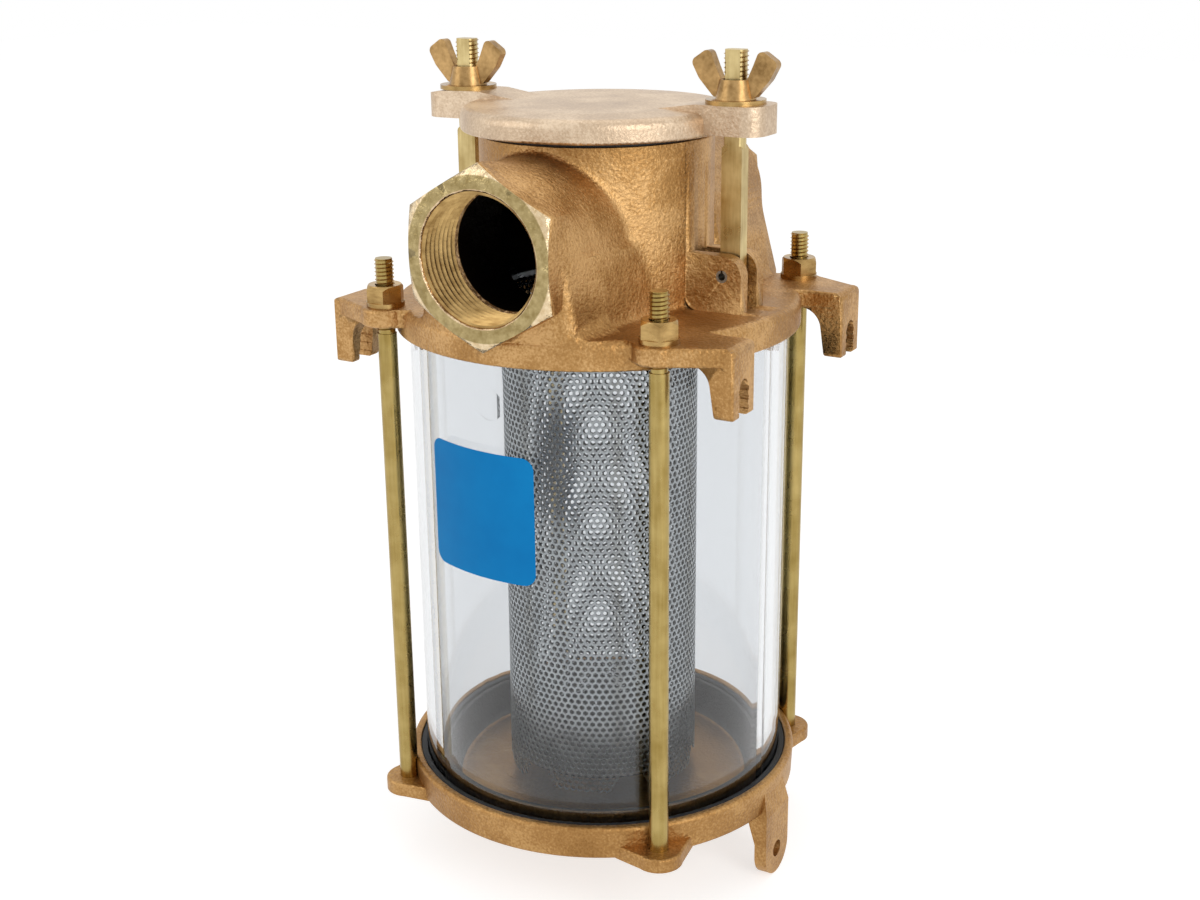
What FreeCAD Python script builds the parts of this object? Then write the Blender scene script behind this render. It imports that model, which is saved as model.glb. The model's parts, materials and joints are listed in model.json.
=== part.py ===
import FreeCAD, Part
import math
import os

V = FreeCAD.Vector

# Sea water strainer: a cast bronze base and a cast bronze body, a clear
# cylinder clamped between them by four tie rods, a perforated basket hanging
# inside and a cover held down by two swing bolts with wing nuts.
# Millimetres.  Z is up, the tips of the two base feet stand on Z = 0 and the
# vertical axis of the cylinder is X = Y = 0.  The inlet faces -Y, the outlet +Y.

# ---- driving sizes --------------------------------------------------------

# heights, from the tips of the base feet upwards
lug_top = 30.0
lug_thickness = 4.7
pan_underside = 22.0
pan_floor = 26.4
base_lip_top = 38.0
base_rim_top = 37.0
base_groove_floor = 29.5
gasket_thickness = 2.5
gasket_upstand_height = 7.0
cylinder_height = 163.0
flange_skirt_depth = 6.1
flange_lip_depth = 5.0
flange_plate_below_groove = 2.5
flange_above_groove = 3.5
ledge_above_plate = 5.5
port_axis_above_flange = 23.5
chamber_height_above_flange = 53.1
cover_gasket_thickness = 1.5

# clear cylinder and the grooves that hold it
cylinder_outer_radius = 63.5
cylinder_wall = 5.4
groove_outer_radius = 66.0
groove_inner_radius = 57.3
upstand_thickness = 2.4
mould_mark_radius = 5.0
mould_mark_depth = 0.12

# base
base_rim_radius = 69.0
base_wall_foot_radius = 68.5
pan_plate_radius = 56.0
pan_floor_radius = 52.5
pan_lip_inner_radius = 55.6
foot_plane = 70.2
foot_tip_radius = 9.0
foot_bore_radius = 3.0
foot_thickness_top = 6.4
foot_thickness_tip = 4.4
foot_ridge_height = 24.5
lug_nose_radius = 8.0
lug_flare_angle = 11.5

# drain plug under the base
drain_boss_radius = 13.0
drain_boss_depth = 4.0
drain_thread_radius = 8.4
plug_socket_width = 8.0

# body casting
flange_radius = 67.7
flange_edge_radius = 3.0
flange_lip_inner_radius = 55.3
chamber_outer_radius = 38.5
chamber_bore_radius = 35.0
chamber_cove = 4.0
ledge_radius = 33.8

# pipe ports
neck_radius_inlet = 27.0
neck_radius_outlet = 28.0
hex_across_flats = 50.0
hex_start = 60.0
hex_length = 11.0
hex_turned_face_radius = 25.0
hex_blend_start = 66.5
hex_blend_end = 54.0
port_mouth_radius = 21.1
port_bore_radius = 20.6
port_thread_depth = 18.0
port_passage_radius = 19.0
pedestal_front = 67.0
pedestal_half_width_front_high = 25.0
pedestal_half_width_front_low = 26.5
pedestal_half_width_middle_high = 27.0
pedestal_half_width_middle_low = 29.0
pedestal_half_width_back_high = 31.5
pedestal_half_width_back_low = 35.5
neck_flare_start = 48.0
neck_flare_growth = 9.0
cast_blend = 6.0

# outlet hood, which carries the flow up from the space round the basket
hood_half_width_low = 38.6
hood_half_width_high = 32.6
hood_end = 58.0
hood_wall = 5.0
hood_cavity_half_width = 24.0
outlet_bore_radius = 19.0

# mounting arms, one at each tie rod
rod_offset = 50.5
arm_thickness = 6.0
arm_nose_radius = 8.2
pad_plane = 74.0
pad_centre_y = 41.0
pad_width_top = 16.0
pad_width_bottom = 14.5
pad_thickness_top = 8.5
pad_thickness_bottom = 6.3
pad_inner_blend = 7.0
pad_crown_radius = 3.0
pad_bottom_below_flange = 22.3
pad_slot_width = 5.8
pad_slot_width_inside = 7.0
pad_slot_top_below_flange = 10.5
slot_rib_pitch = 2.9
slot_rib_depth = 0.5
arm_edge_radius = 1.2

# tie rods and their nuts
rod_radius = 3.175
rod_shoulder_below_flange = 9.1
rod_stud_radius = 2.76
rod_stud_above_flange = 15.7
rod_hole_radius = 3.5
lock_washer_radius = 6.2
lock_washer_thickness = 1.6
hex_nut_across_flats = 11.1
hex_nut_height = 5.6

# clevis and swing bolts
pivot_x = 50.0
pivot_above_flange = 11.5
clevis_slot_width = 6.7
clevis_ear_thickness = 5.0
clevis_end_x = 56.7
clevis_top_above_flange = 18.0
pivot_pin_radius = 2.0
pivot_pin_bore_radius = 1.2
bolt_bar_width = 7.0
bolt_bar_thickness = 4.8
bolt_shoulder_above_pivot = 40.3
bolt_thread_radius = 3.51
bolt_crest_radius = 3.95
bolt_flat_half_width = 2.4
bolt_top_above_pivot = 69.5

# cover
cover_radius = 44.2
cover_thickness = 8.3
cover_edge_radius = 3.0
cover_dome_drop = 1.0
ear_end_x = 62.0
ear_half_width = 9.5
ear_underside_above_seat = 0.9
ear_top_above_seat = 10.0
ear_ridge_inner_x = 23.0
ear_hole_radius = 4.35

# washers and wing nuts on the swing bolts
flat_washer_radius = 9.5
flat_washer_thickness = 1.4
wing_hub_radius_low = 6.4
wing_hub_radius_high = 5.2
wing_hub_height = 6.0
wing_thickness = 3.4
wing_reach = 15.25
wing_tip_height = 15.6

# basket
basket_radius = 33.4
basket_wall = 0.8
basket_foot_height = 31.3
basket_notch_depth = 4.2
basket_tab_count = 6
basket_tab_angle = 38.0
basket_tab_direction = -72.5
basket_rim_radius = 34.4
basket_rim_height = 2.5
basket_bottom_thickness = 0.8
bail_wire_radius = 1.2

# label on the outside of the clear cylinder
label_thickness = 0.2
label_start_angle = -117.0
label_sweep = 38.5
label_bottom = 119.0
label_height = 42.7
label_corner_radius = 4.0

# clearances
thread_clearance = 0.05
pivot_clearance = 0.05
swing_clearance = 0.10
rod_relief = 0.25

# ---- sizes that follow ----------------------------------------------------

cylinder_bottom = base_groove_floor + gasket_thickness
cylinder_top = cylinder_bottom + cylinder_height
flange_groove_ceiling = cylinder_top + gasket_thickness
flange_top = flange_groove_ceiling + flange_above_groove
flange_plate_underside = flange_groove_ceiling - flange_plate_below_groove
flange_skirt_bottom = flange_groove_ceiling - flange_skirt_depth
flange_lip_bottom = flange_groove_ceiling - flange_lip_depth
ledge_height = flange_plate_underside + ledge_above_plate
port_height = flange_top + port_axis_above_flange
chamber_top = flange_top + chamber_height_above_flange
cover_seat = chamber_top + cover_gasket_thickness
ear_top = cover_seat + ear_top_above_seat
ear_underside = cover_seat + ear_underside_above_seat
pivot_height = flange_top + pivot_above_flange
bolt_shoulder = pivot_height + bolt_shoulder_above_pivot
bolt_top = pivot_height + bolt_top_above_pivot
washer_top = ear_top + flat_washer_thickness
arm_underside = flange_top - arm_thickness
rod_shoulder = flange_top - rod_shoulder_below_flange
rod_radius_from_axis = rod_offset * math.sqrt(2.0)
corner_signs = [(1, -1), (1, 1), (-1, 1), (-1, -1)]


# ---- helpers --------------------------------------------------------------

def rounded_wire(corners, place):
    """Closed outline through (u, v, corner radius), set in space by place(u, v)."""
    starts = []
    middles = []
    ends = []
    count = len(corners)
    for i in range(count):
        u, v, radius = corners[i]
        before = corners[i - 1]
        after = corners[(i + 1) % count]
        corner = V(u, v, 0)
        if radius == 0:
            starts.append(corner)
            middles.append(corner)
            ends.append(corner)
            continue
        back = (V(before[0], before[1], 0) - corner).normalize()
        ahead = (V(after[0], after[1], 0) - corner).normalize()
        half = back.getAngle(ahead) / 2.0
        run = radius / math.tan(half)
        inward = (back + ahead).normalize()
        centre = corner + inward * (radius / math.sin(half))
        starts.append(corner + back * run)
        middles.append(centre - inward * radius)
        ends.append(corner + ahead * run)
    edges = []
    for i in range(count):
        if corners[i][2] > 0:
            first = place(starts[i].x, starts[i].y)
            middle = place(middles[i].x, middles[i].y)
            last = place(ends[i].x, ends[i].y)
            edges.append(Part.Arc(first, middle, last).toShape())
        here = ends[i]
        there = starts[(i + 1) % count]
        if here.distanceToPoint(there) > 1e-6:
            edges.append(Part.makeLine(place(here.x, here.y), place(there.x, there.y)))
    return Part.Wire(edges)


def turned(corners):
    """Solid of revolution about the vertical axis from (radius, height, corner radius)."""
    wire = rounded_wire(corners, lambda u, v: V(u, 0, v))
    return Part.Face(wire).revolve(V(0, 0, 0), V(0, 0, 1), 360)


def plate(corners, bottom, top):
    """Flat plate from an outline in plan."""
    wire = rounded_wire(corners, lambda u, v: V(u, v, bottom))
    return Part.Face(wire).extrude(V(0, 0, top - bottom))


def slab_x(corners, start, end):
    """Slab standing across X, from an outline in (y, z)."""
    wire = rounded_wire(corners, lambda u, v: V(start, u, v))
    return Part.Face(wire).extrude(V(end - start, 0, 0))


def slab_y(corners, start, end):
    """Slab standing across Y, from an outline in (x, z)."""
    wire = rounded_wire(corners, lambda u, v: V(u, start, v))
    return Part.Face(wire).extrude(V(0, end - start, 0))


def upright(radius, bottom, top, x=0.0, y=0.0):
    return Part.makeCylinder(radius, top - bottom, V(x, y, bottom), V(0, 0, 1))


def level_y(radius, start, end, x, z):
    return Part.makeCylinder(radius, end - start, V(x, start, z), V(0, 1, 0))


def level_x(radius, start, end, y, z):
    return Part.makeCylinder(radius, end - start, V(start, y, z), V(1, 0, 0))


def ring(outer, inner, bottom, top, x=0.0, y=0.0):
    return upright(outer, bottom, top, x, y).cut(upright(inner, bottom, top, x, y))


def box(x0, x1, y0, y1, z0, z1):
    return Part.makeBox(x1 - x0, y1 - y0, z1 - z0, V(x0, y0, z0))


def hexagon(across_flats, bottom, top, x, y):
    """Hexagonal prism on a vertical axis, two corners along X."""
    corner = across_flats / math.sqrt(3.0)
    corners = []
    for k in range(6):
        angle = math.radians(60 * k)
        corners.append((x + corner * math.cos(angle), y + corner * math.sin(angle), 0))
    return plate(corners, bottom, top)


def turn(shape, angle):
    """Copy turned about the vertical axis."""
    copy = shape.copy()
    copy.rotate(V(0, 0, 0), V(0, 0, 1), angle)
    return copy


def opposite(shape):
    """Copy mirrored to the other side in X."""
    return shape.mirror(V(0, 0, 0), V(1, 0, 0))


def across(shape):
    """Copy mirrored to the other side in Y."""
    return shape.mirror(V(0, 0, 0), V(0, 1, 0))


def joined(shapes):
    return shapes[0].fuse(shapes[1:]).removeSplitter()


def save(node, shape):
    solids = shape.Solids
    shape = solids[0] if len(solids) == 1 else shape
    print(node, "solids", len(solids), "valid", shape.isValid(), "mm3", round(shape.Volume))
    shape.exportStep("parts/" + node + ".step")


os.makedirs("parts", exist_ok=True)

# ---- base: shallow cast pan with a groove for the cylinder ------------------

pan = turned([
    (0, pan_underside, 0),
    (pan_plate_radius, pan_underside, 1.5),
    (pan_plate_radius + 3.0, base_groove_floor - 4.0, 1.5),
    (base_wall_foot_radius, base_groove_floor - 4.0, 1.2),
    (base_rim_radius, base_rim_top, 1.4),
    (groove_outer_radius, base_rim_top, 0.6),
    (groove_outer_radius, base_groove_floor, 0),
    (groove_inner_radius, base_groove_floor, 0),
    (groove_inner_radius, base_lip_top, 0.5),
    (pan_lip_inner_radius, base_lip_top, 0.5),
    (pan_floor_radius, pan_floor, 3.0),
    (0, pan_floor, 0),
])


def rod_lug():
    """Wedge-shaped shelf round one tie rod, drawn on +X."""
    nose = rod_radius_from_axis
    flare = math.radians(lug_flare_angle)
    root_x = (base_rim_radius - 1.5) * math.cos(flare)
    root_y = (base_rim_radius - 1.5) * math.sin(flare)
    slope = math.atan2(root_y - lug_nose_radius, nose - root_x)
    tangent_x = nose + lug_nose_radius * math.sin(slope)
    tangent_y = lug_nose_radius * math.cos(slope)
    reach = nose + lug_nose_radius
    corners = [
        (60.0, -root_y + 2.0, 0),
        (root_x, -root_y, 0),
        (tangent_x, -tangent_y, 0),
        (tangent_x, tangent_y, 0),
        (root_x, root_y, 0),
        (60.0, root_y - 2.0, 0),
    ]
    shelf = plate(corners, lug_top - lug_thickness, lug_top)
    tip = upright(lug_nose_radius, lug_top - lug_thickness, lug_top, nose)
    lug = joined([shelf, tip])
    top_edges = []
    for edge in lug.Edges:
        box_of_edge = edge.BoundBox
        level = abs(box_of_edge.ZMax - lug_top) < 1e-3 and box_of_edge.ZLength < 1e-3
        if level and box_of_edge.XMax > 62.0:
            top_edges.append(edge)
    return lug.makeFillet(0.8, top_edges)


def mounting_foot():
    """Foot on +X: a drilled tongue below the rim with a sloped gusset above it."""
    bore_height = foot_tip_radius
    side = slab_y([
        (foot_plane - foot_thickness_tip, 0.0, 0),
        (foot_plane, 0.0, 0),
        (foot_plane, foot_ridge_height, 0),
        (base_rim_radius - 1.0, base_rim_top - 1.2, 0),
        (base_rim_radius - 2.6, base_rim_top - 1.2, 0),
        (base_rim_radius - 2.6, base_groove_floor - 3.0, 0),
        (foot_plane - foot_thickness_top - 1.0, pan_floor - 2.4, 0),
        (foot_plane - foot_thickness_top, bore_height + 11.0, 0),
        (foot_plane - foot_thickness_tip, bore_height + foot_bore_radius + 1.5, 0),
    ], -14.0, 14.0)
    face = slab_x([
        (-foot_tip_radius, 0.0, foot_tip_radius - 0.01),
        (foot_tip_radius, 0.0, foot_tip_radius - 0.01),
        (foot_tip_radius, foot_ridge_height, 0),
        (foot_tip_radius - 2.4, base_rim_top, 0),
        (2.4 - foot_tip_radius, base_rim_top, 0),
        (-foot_tip_radius, foot_ridge_height, 0),
    ], 55.0, 80.0)
    return side.common(face)


lugs = []
for quarter in range(4):
    lugs.append(turn(rod_lug(), 45 + 90 * quarter))
foot_right = mounting_foot()
drain_boss = turned([
    (0, pan_underside - drain_boss_depth, 0),
    (drain_boss_radius, pan_underside - drain_boss_depth, 1.0),
    (drain_boss_radius + 1.0, pan_underside + 2.0, 0),
    (0, pan_underside + 2.0, 0),
])
base = joined([pan, drain_boss, foot_right, opposite(foot_right)] + lugs)
base_holes = [
    upright(drain_thread_radius + thread_clearance, 0.0, 60.0),
    level_x(foot_bore_radius, -90.0, 90.0, 0.0, foot_tip_radius),
    ring(groove_outer_radius, groove_inner_radius, base_groove_floor, 60.0),
]
for sx, sy in corner_signs:
    x = sx * rod_offset
    y = sy * rod_offset
    base_holes.append(upright(rod_radius + thread_clearance, 0.0, 60.0, x, y))
    base_holes.append(upright(rod_radius + rod_relief, lug_top, 60.0, x, y))
base = base.cut(base_holes).removeSplitter()
save("base", base)

plug = turned([
    (0, pan_underside - drain_boss_depth - 0.6, 0),
    (drain_thread_radius, pan_underside - drain_boss_depth - 0.6, 0.8),
    (drain_thread_radius, pan_floor + 0.4, 0.8),
    (0, pan_floor + 0.4, 0),
])
socket = hexagon(plug_socket_width, 0.0, pan_underside, 0, 0)
save("drain_plug", plug.cut(socket))

# ---- seals, clear cylinder and label --------------------------------------

lower_gasket = turned([
    (groove_inner_radius, base_groove_floor, 0),
    (groove_outer_radius, base_groove_floor, 0),
    (groove_outer_radius, base_groove_floor + gasket_upstand_height, 0.6),
    (groove_outer_radius - upstand_thickness, base_groove_floor + gasket_upstand_height, 0.6),
    (groove_outer_radius - upstand_thickness, cylinder_bottom, 0),
    (groove_inner_radius, cylinder_bottom, 0),
])
save("lower_gasket", lower_gasket)

cylinder_inner_radius = cylinder_outer_radius - cylinder_wall
tube = ring(cylinder_outer_radius, cylinder_inner_radius, cylinder_bottom, cylinder_top)
for direction, height in [(-92.0, 177.5), (-87.0, 54.0)]:
    angle = math.radians(direction)
    aim = V(math.cos(angle), math.sin(angle), 0)
    start = aim * (cylinder_outer_radius - mould_mark_depth) + V(0, 0, height)
    tube = tube.cut(Part.makeCylinder(mould_mark_radius, 10.0, start, aim))
save("clear_cylinder", tube)

save("upper_gasket", ring(groove_outer_radius, groove_inner_radius, cylinder_top, flange_groove_ceiling))

label_ring = ring(cylinder_outer_radius + label_thickness, cylinder_outer_radius,
                  label_bottom, label_bottom + label_height)
half_chord = cylinder_outer_radius * math.sin(math.radians(label_sweep / 2.0))
label_cut = slab_x([
    (-half_chord, label_bottom, label_corner_radius),
    (half_chord, label_bottom, label_corner_radius),
    (half_chord, label_bottom + label_height, label_corner_radius),
    (-half_chord, label_bottom + label_height, label_corner_radius),
], 0.0, 80.0)
label = turn(label_ring.common(label_cut), label_start_angle + label_sweep / 2.0)
save("label", label)

# ---- body: flange, chamber, ports, hood, arms and clevises -------------------

shell = turned([
    (ledge_radius, flange_plate_underside, 0),
    (flange_lip_inner_radius, flange_plate_underside, 0),
    (flange_lip_inner_radius, flange_lip_bottom, 0.5),
    (groove_inner_radius, flange_lip_bottom, 0.5),
    (groove_inner_radius, flange_groove_ceiling, 0),
    (groove_outer_radius, flange_groove_ceiling, 0),
    (groove_outer_radius, flange_skirt_bottom, 0.4),
    (flange_radius, flange_skirt_bottom, 0.8),
    (flange_radius, flange_top, flange_edge_radius),
    (chamber_outer_radius, flange_top, chamber_cove),
    (chamber_outer_radius, chamber_top, 0.6),
    (chamber_bore_radius, chamber_top, 0.6),
    (chamber_bore_radius, ledge_height, 0),
    (ledge_radius, ledge_height, 0),
])


def pipe_hexagon():
    """Hexagonal pipe end on the inlet side, corners up and down, chamfered outside."""
    corner = hex_across_flats / math.sqrt(3.0)
    corners = []
    for k in range(6):
        angle = math.radians(60 * k + 90)
        corners.append((corner * math.cos(angle), port_height + corner * math.sin(angle), 0))
    prism = slab_y(corners, -hex_start - hex_length, -hex_blend_start)
    chamfer = turned([
        (0, 0, 0),
        (hex_turned_face_radius, 0, 0),
        (corner + 0.5, (corner + 0.5 - hex_turned_face_radius) * 0.45, 0),
        (corner + 0.5, hex_length, 0),
        (0, hex_length, 0),
    ])
    chamfer.rotate(V(0, 0, 0), V(1, 0, 0), -90)
    chamfer.translate(V(0, -hex_start - hex_length, port_height))
    return prism.common(chamfer)


def hexagon_wire(y):
    """Outline of the pipe hexagon at one station along Y, corners up and down."""
    corner = hex_across_flats / math.sqrt(3.0)
    corners = []
    for k in range(6):
        angle = math.radians(60 * k + 90)
        corners.append(V(corner * math.cos(angle), y, port_height + corner * math.sin(angle)))
    return Part.makePolygon(corners + [corners[0]])


def neck_wire(radius, y):
    """Circle of the neck in six arcs that end where the hexagon has its corners."""
    arcs = []
    for k in range(6):
        points = []
        for part_turn in (0, 30, 60):
            angle = math.radians(60 * k + 90 + part_turn)
            points.append(V(radius * math.cos(angle), y, port_height + radius * math.sin(angle)))
        arcs.append(Part.Arc(points[0], points[1], points[2]).toShape())
    return Part.Wire(arcs)


def pipe_neck(radius):
    """Neck on the inlet side: out of the hexagon, along, and widening to the chamber."""
    fade = Part.makeLoft([hexagon_wire(-hex_blend_start), neck_wire(radius, -hex_blend_end)], True, True)
    flare = turned([
        (0, -hex_blend_end, 0),
        (radius, -hex_blend_end, 0),
        (radius, -neck_flare_start + 8.0, 14.0),
        (radius + neck_flare_growth, -neck_flare_start + 8.0 + neck_flare_growth * 1.2, 0),
        (radius + neck_flare_growth, -20.0, 0),
        (0, -20.0, 0),
    ])
    flare.rotate(V(0, 0, 0), V(1, 0, 0), -90)
    flare.translate(V(0, 0, port_height))
    below_seat = box(-60.0, 60.0, -70.0, 0.0, flange_top - 1.0, chamber_top - 2.2)
    return [fade, flare.common(below_seat)]


def arch_wire(y, half_high, half_low, blend):
    """Section of the wall under the neck, with its foot running out on the flange."""
    foot = half_low + blend * 1.2
    sunk = flange_top - 0.15
    corners = [
        (-foot, low, 0),
        (foot, low, 0),
        (foot, sunk, 0),
        (half_low, sunk, blend),
        (half_high, port_height, 0),
        (-half_high, port_height, 0),
        (-half_low, sunk, blend),
        (-foot, sunk, 0),
    ]
    return rounded_wire(corners, lambda u, v: V(u, y, v))


inlet_neck = pipe_neck(neck_radius_inlet)
outlet_neck = level_y(neck_radius_outlet, 0.0, hex_blend_end, 0.0, port_height)
outlet_fade = across(Part.makeLoft([
    hexagon_wire(-hex_blend_start),
    neck_wire(neck_radius_outlet, -hex_blend_end),
], True, True))
low = flange_plate_underside + 1.0
pedestal = Part.makeLoft([
    arch_wire(-pedestal_front, pedestal_half_width_front_high, pedestal_half_width_front_low, 1.0),
    arch_wire(-hex_blend_end, pedestal_half_width_middle_high, pedestal_half_width_middle_low, cast_blend),
    arch_wire(-24.0, pedestal_half_width_back_high, pedestal_half_width_back_low, cast_blend + 2.0),
], True, False)
pedestal = pedestal.common(upright(flange_radius - 0.5, 0.0, 400.0))
hood_crown = port_height + neck_radius_outlet + 1.0
hood = slab_y([
    (-hood_half_width_low, low, 0),
    (hood_half_width_low, low, 0),
    (hood_half_width_low, flange_top, 0),
    (hood_half_width_high, flange_top + 22.0, 30.0),
    (hood_half_width_high - 1.2, hood_crown, 26.0),
    (1.2 - hood_half_width_high, hood_crown, 26.0),
    (-hood_half_width_high, flange_top + 22.0, 30.0),
    (-hood_half_width_low, flange_top, 0),
], 22.0, hood_end)
hood = hood.common(upright(flange_radius + 2.0, 0.0, 400.0))
foot = hood_half_width_low + cast_blend * 1.2
hood_foot = slab_y([
    (-foot, low, 0),
    (foot, low, 0),
    (foot, flange_top - 0.15, 0),
    (hood_half_width_low - 0.2, flange_top - 0.15, cast_blend),
    (hood_half_width_low - 3.0, flange_top + 12.0, 0),
    (3.0 - hood_half_width_low, flange_top + 12.0, 0),
    (0.2 - hood_half_width_low, flange_top - 0.15, cast_blend),
    (-foot, flange_top - 0.15, 0),
], 20.0, hood_end)
hood_foot = hood_foot.common(upright(flange_radius - flange_edge_radius, 0.0, 400.0))


def mounting_arm():
    """Arm and slotted pad at the corner with x > 0, y < 0."""
    y_near = -pad_centre_y + pad_width_top / 2.0
    y_far = -pad_centre_y - pad_width_top / 2.0
    slope = math.atan2(1.0, 12.0)
    arm_end = pad_plane - pad_crown_radius
    arm = plate([
        (44.0, -22.0, 0),
        (60.0, y_near, 14.0),
        (arm_end, y_near, 0),
        (arm_end, y_far, 0),
        (rod_offset + arm_nose_radius * math.sin(slope), -rod_offset - arm_nose_radius * math.cos(slope), 0),
        (rod_offset - arm_nose_radius * 0.9, -rod_offset - arm_nose_radius * 0.45, 0),
        (30.0, -50.0, 0),
        (30.0, -30.0, 0),
    ], arm_underside, flange_top)
    nose = upright(arm_nose_radius, arm_underside, flange_top, rod_offset, -rod_offset)
    arm = joined([arm, nose])
    rims = []
    for edge in arm.Edges:
        span = edge.BoundBox
        level = span.ZLength < 1e-3
        outer = math.hypot(span.Center.x, span.Center.y) > 62.0 and span.XMax < arm_end + 0.1
        if level and outer and span.XLength > 0.1:
            rims.append(edge)
    arm = arm.makeFillet(arm_edge_radius, rims)
    bottom = flange_top - pad_bottom_below_flange
    side = slab_y([
        (pad_plane, bottom, 1.0),
        (pad_plane, flange_top, pad_crown_radius),
        (54.0, flange_top, 0),
        (54.0, arm_underside, 0),
        (pad_plane - pad_thickness_top, arm_underside, pad_inner_blend),
        (pad_plane - pad_thickness_bottom, bottom, 1.0),
    ], y_far - 5.0, y_near + 5.0)
    front = slab_x([
        (y_far, flange_top, arm_edge_radius),
        (-pad_centre_y - pad_width_bottom / 2.0, bottom, 1.5),
        (-pad_centre_y + pad_width_bottom / 2.0, bottom, 1.5),
        (y_near, flange_top, arm_edge_radius),
    ], 54.0, pad_plane + 1.0)
    outline = plate([
        (54.0, y_far, 0),
        (pad_plane, y_far, 1.6),
        (pad_plane, y_near, 1.6),
        (54.0, y_near, 0),
    ], bottom - 1.0, flange_top + 1.0)
    pad = side.common(front).common(outline)
    arm = joined([arm, pad])
    half = pad_slot_width / 2.0
    half_inside = pad_slot_width_inside / 2.0
    slot_top = flange_top - pad_slot_top_below_flange
    slot = plate([
        (pad_plane + 1.0, -pad_centre_y - half, 0),
        (pad_plane + 1.0, -pad_centre_y + half, 0),
        (pad_plane - 12.0, -pad_centre_y + half_inside, 0),
        (pad_plane - 12.0, -pad_centre_y - half_inside, 0),
    ], bottom - 1.0, slot_top - half)
    slot_end = Part.makeCone(half, half_inside, 13.0, V(pad_plane + 1.0, -pad_centre_y, slot_top - half),
                             V(-1, 0, 0))
    cuts = [slot, slot_end]
    for k in range(3):
        rib = bottom + slot_rib_pitch * (k + 0.6)
        cuts.append(box(pad_plane - 12.0, pad_plane + 1.0, -pad_centre_y - half - slot_rib_depth,
                        -pad_centre_y + half + slot_rib_depth, rib, rib + slot_rib_pitch * 0.5))
    return arm.cut(cuts)


arm = mounting_arm()


def clevis_ear():
    """One ear of the clevis on +X, on the +Y side of its slot."""
    inner = clevis_slot_width / 2.0
    top = flange_top + clevis_top_above_flange
    ear = slab_y([
        (chamber_outer_radius - 2.5, low, 0),
        (clevis_end_x, low, 0),
        (clevis_end_x, top, 6.5),
        (chamber_outer_radius - 2.5, top, 0),
    ], inner, inner + clevis_ear_thickness)
    return ear


ear = clevis_ear()
ears = [ear, across(ear), opposite(ear), opposite(across(ear))]
hexagon_in = pipe_hexagon()
arms = [arm, across(arm), opposite(arm), opposite(across(arm))]
hexagons = [hexagon_in, across(hexagon_in)]
body = joined([shell, outlet_neck, outlet_fade, pedestal, hood, hood_foot] + inlet_neck + hexagons
              + arms + ears)

chamber_void = upright(chamber_bore_radius, ledge_height, 400.0)
ledge_void = upright(ledge_radius, 0.0, 400.0)
port_face = hex_start + hex_length
port_bore = level_y(port_bore_radius, -port_face, -port_face + port_thread_depth, 0.0, port_height)
mouth_chamfer = Part.makeCone(port_mouth_radius, port_bore_radius, port_mouth_radius - port_bore_radius,
                              V(0, -port_face, port_height), V(0, 1, 0))
inlet_passage = level_y(port_passage_radius, -hex_start, -chamber_bore_radius + 10.0, 0.0, port_height)
wall_keep = upright(chamber_outer_radius + 0.5, 0.0, 400.0)
outlet_passage = level_y(outlet_bore_radius, 30.0, hex_start, 0.0, port_height).cut(wall_keep)
hood_cavity = slab_y([
    (-hood_cavity_half_width, 0.0, 0),
    (hood_cavity_half_width, 0.0, 0),
    (hood_cavity_half_width, port_height + port_passage_radius, 18.0),
    (-hood_cavity_half_width, port_height + port_passage_radius, 18.0),
], 30.0, hood_end - hood_wall)
hood_cavity = hood_cavity.cut(wall_keep).common(upright(flange_lip_inner_radius, 0.0, 400.0))
groove_void = ring(groove_outer_radius, groove_inner_radius, 0.0, flange_groove_ceiling)
body_voids = [
    chamber_void,
    ledge_void,
    port_bore,
    mouth_chamfer,
    across(port_bore),
    across(mouth_chamfer),
    inlet_passage,
    outlet_passage,
    hood_cavity,
    groove_void,
]
for sx, sy in corner_signs:
    body_voids.append(upright(rod_hole_radius, 150.0, flange_top + 1.0, sx * rod_offset, sy * rod_offset))
for side in (1, -1):
    body_voids.append(level_y(pivot_pin_radius, -20.0, 20.0, side * pivot_x, pivot_height))
body = body.cut(body_voids).removeSplitter()
save("strainer_body", body)

# ---- basket -----------------------------------------------------------------

basket_top = ledge_height + basket_rim_height
basket = ring(basket_radius, basket_radius - basket_wall, basket_foot_height, basket_top)
notch_angle = 360.0 / basket_tab_count - basket_tab_angle
notch_half = basket_radius * math.tan(math.radians(notch_angle / 2.0))
notches = []
for k in range(basket_tab_count):
    notch = slab_x([
        (-notch_half, basket_foot_height - 1.0, 0),
        (notch_half, basket_foot_height - 1.0, 0),
        (notch_half - 1.0, basket_foot_height + basket_notch_depth, 1.5),
        (1.0 - notch_half, basket_foot_height + basket_notch_depth, 1.5),
    ], basket_radius - 4.0, basket_radius + 4.0)
    middle = basket_tab_direction + (k + 0.5) * 360.0 / basket_tab_count
    notches.append(turn(notch, middle))
save("basket_tube", basket.cut(notches))

save("basket_rim", ring(basket_rim_radius, basket_radius, ledge_height, basket_top))

bottom_height = basket_foot_height + basket_notch_depth + 1.0
save("basket_bottom", upright(basket_radius - basket_wall - 0.05, bottom_height,
                              bottom_height + basket_bottom_thickness))

bail_ring = Part.makeTorus(basket_radius - 0.2, bail_wire_radius,
                           V(0, 0, basket_top + bail_wire_radius), V(0, 0, 1))
bail_half = box(-60.0, 60.0, -60.0, 0.0, 0.0, 400.0)
save("basket_bail", bail_ring.common(bail_half))

# ---- cover --------------------------------------------------------------------

save("cover_gasket", ring(chamber_outer_radius - 1.5, chamber_bore_radius, chamber_top, cover_seat))

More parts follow.
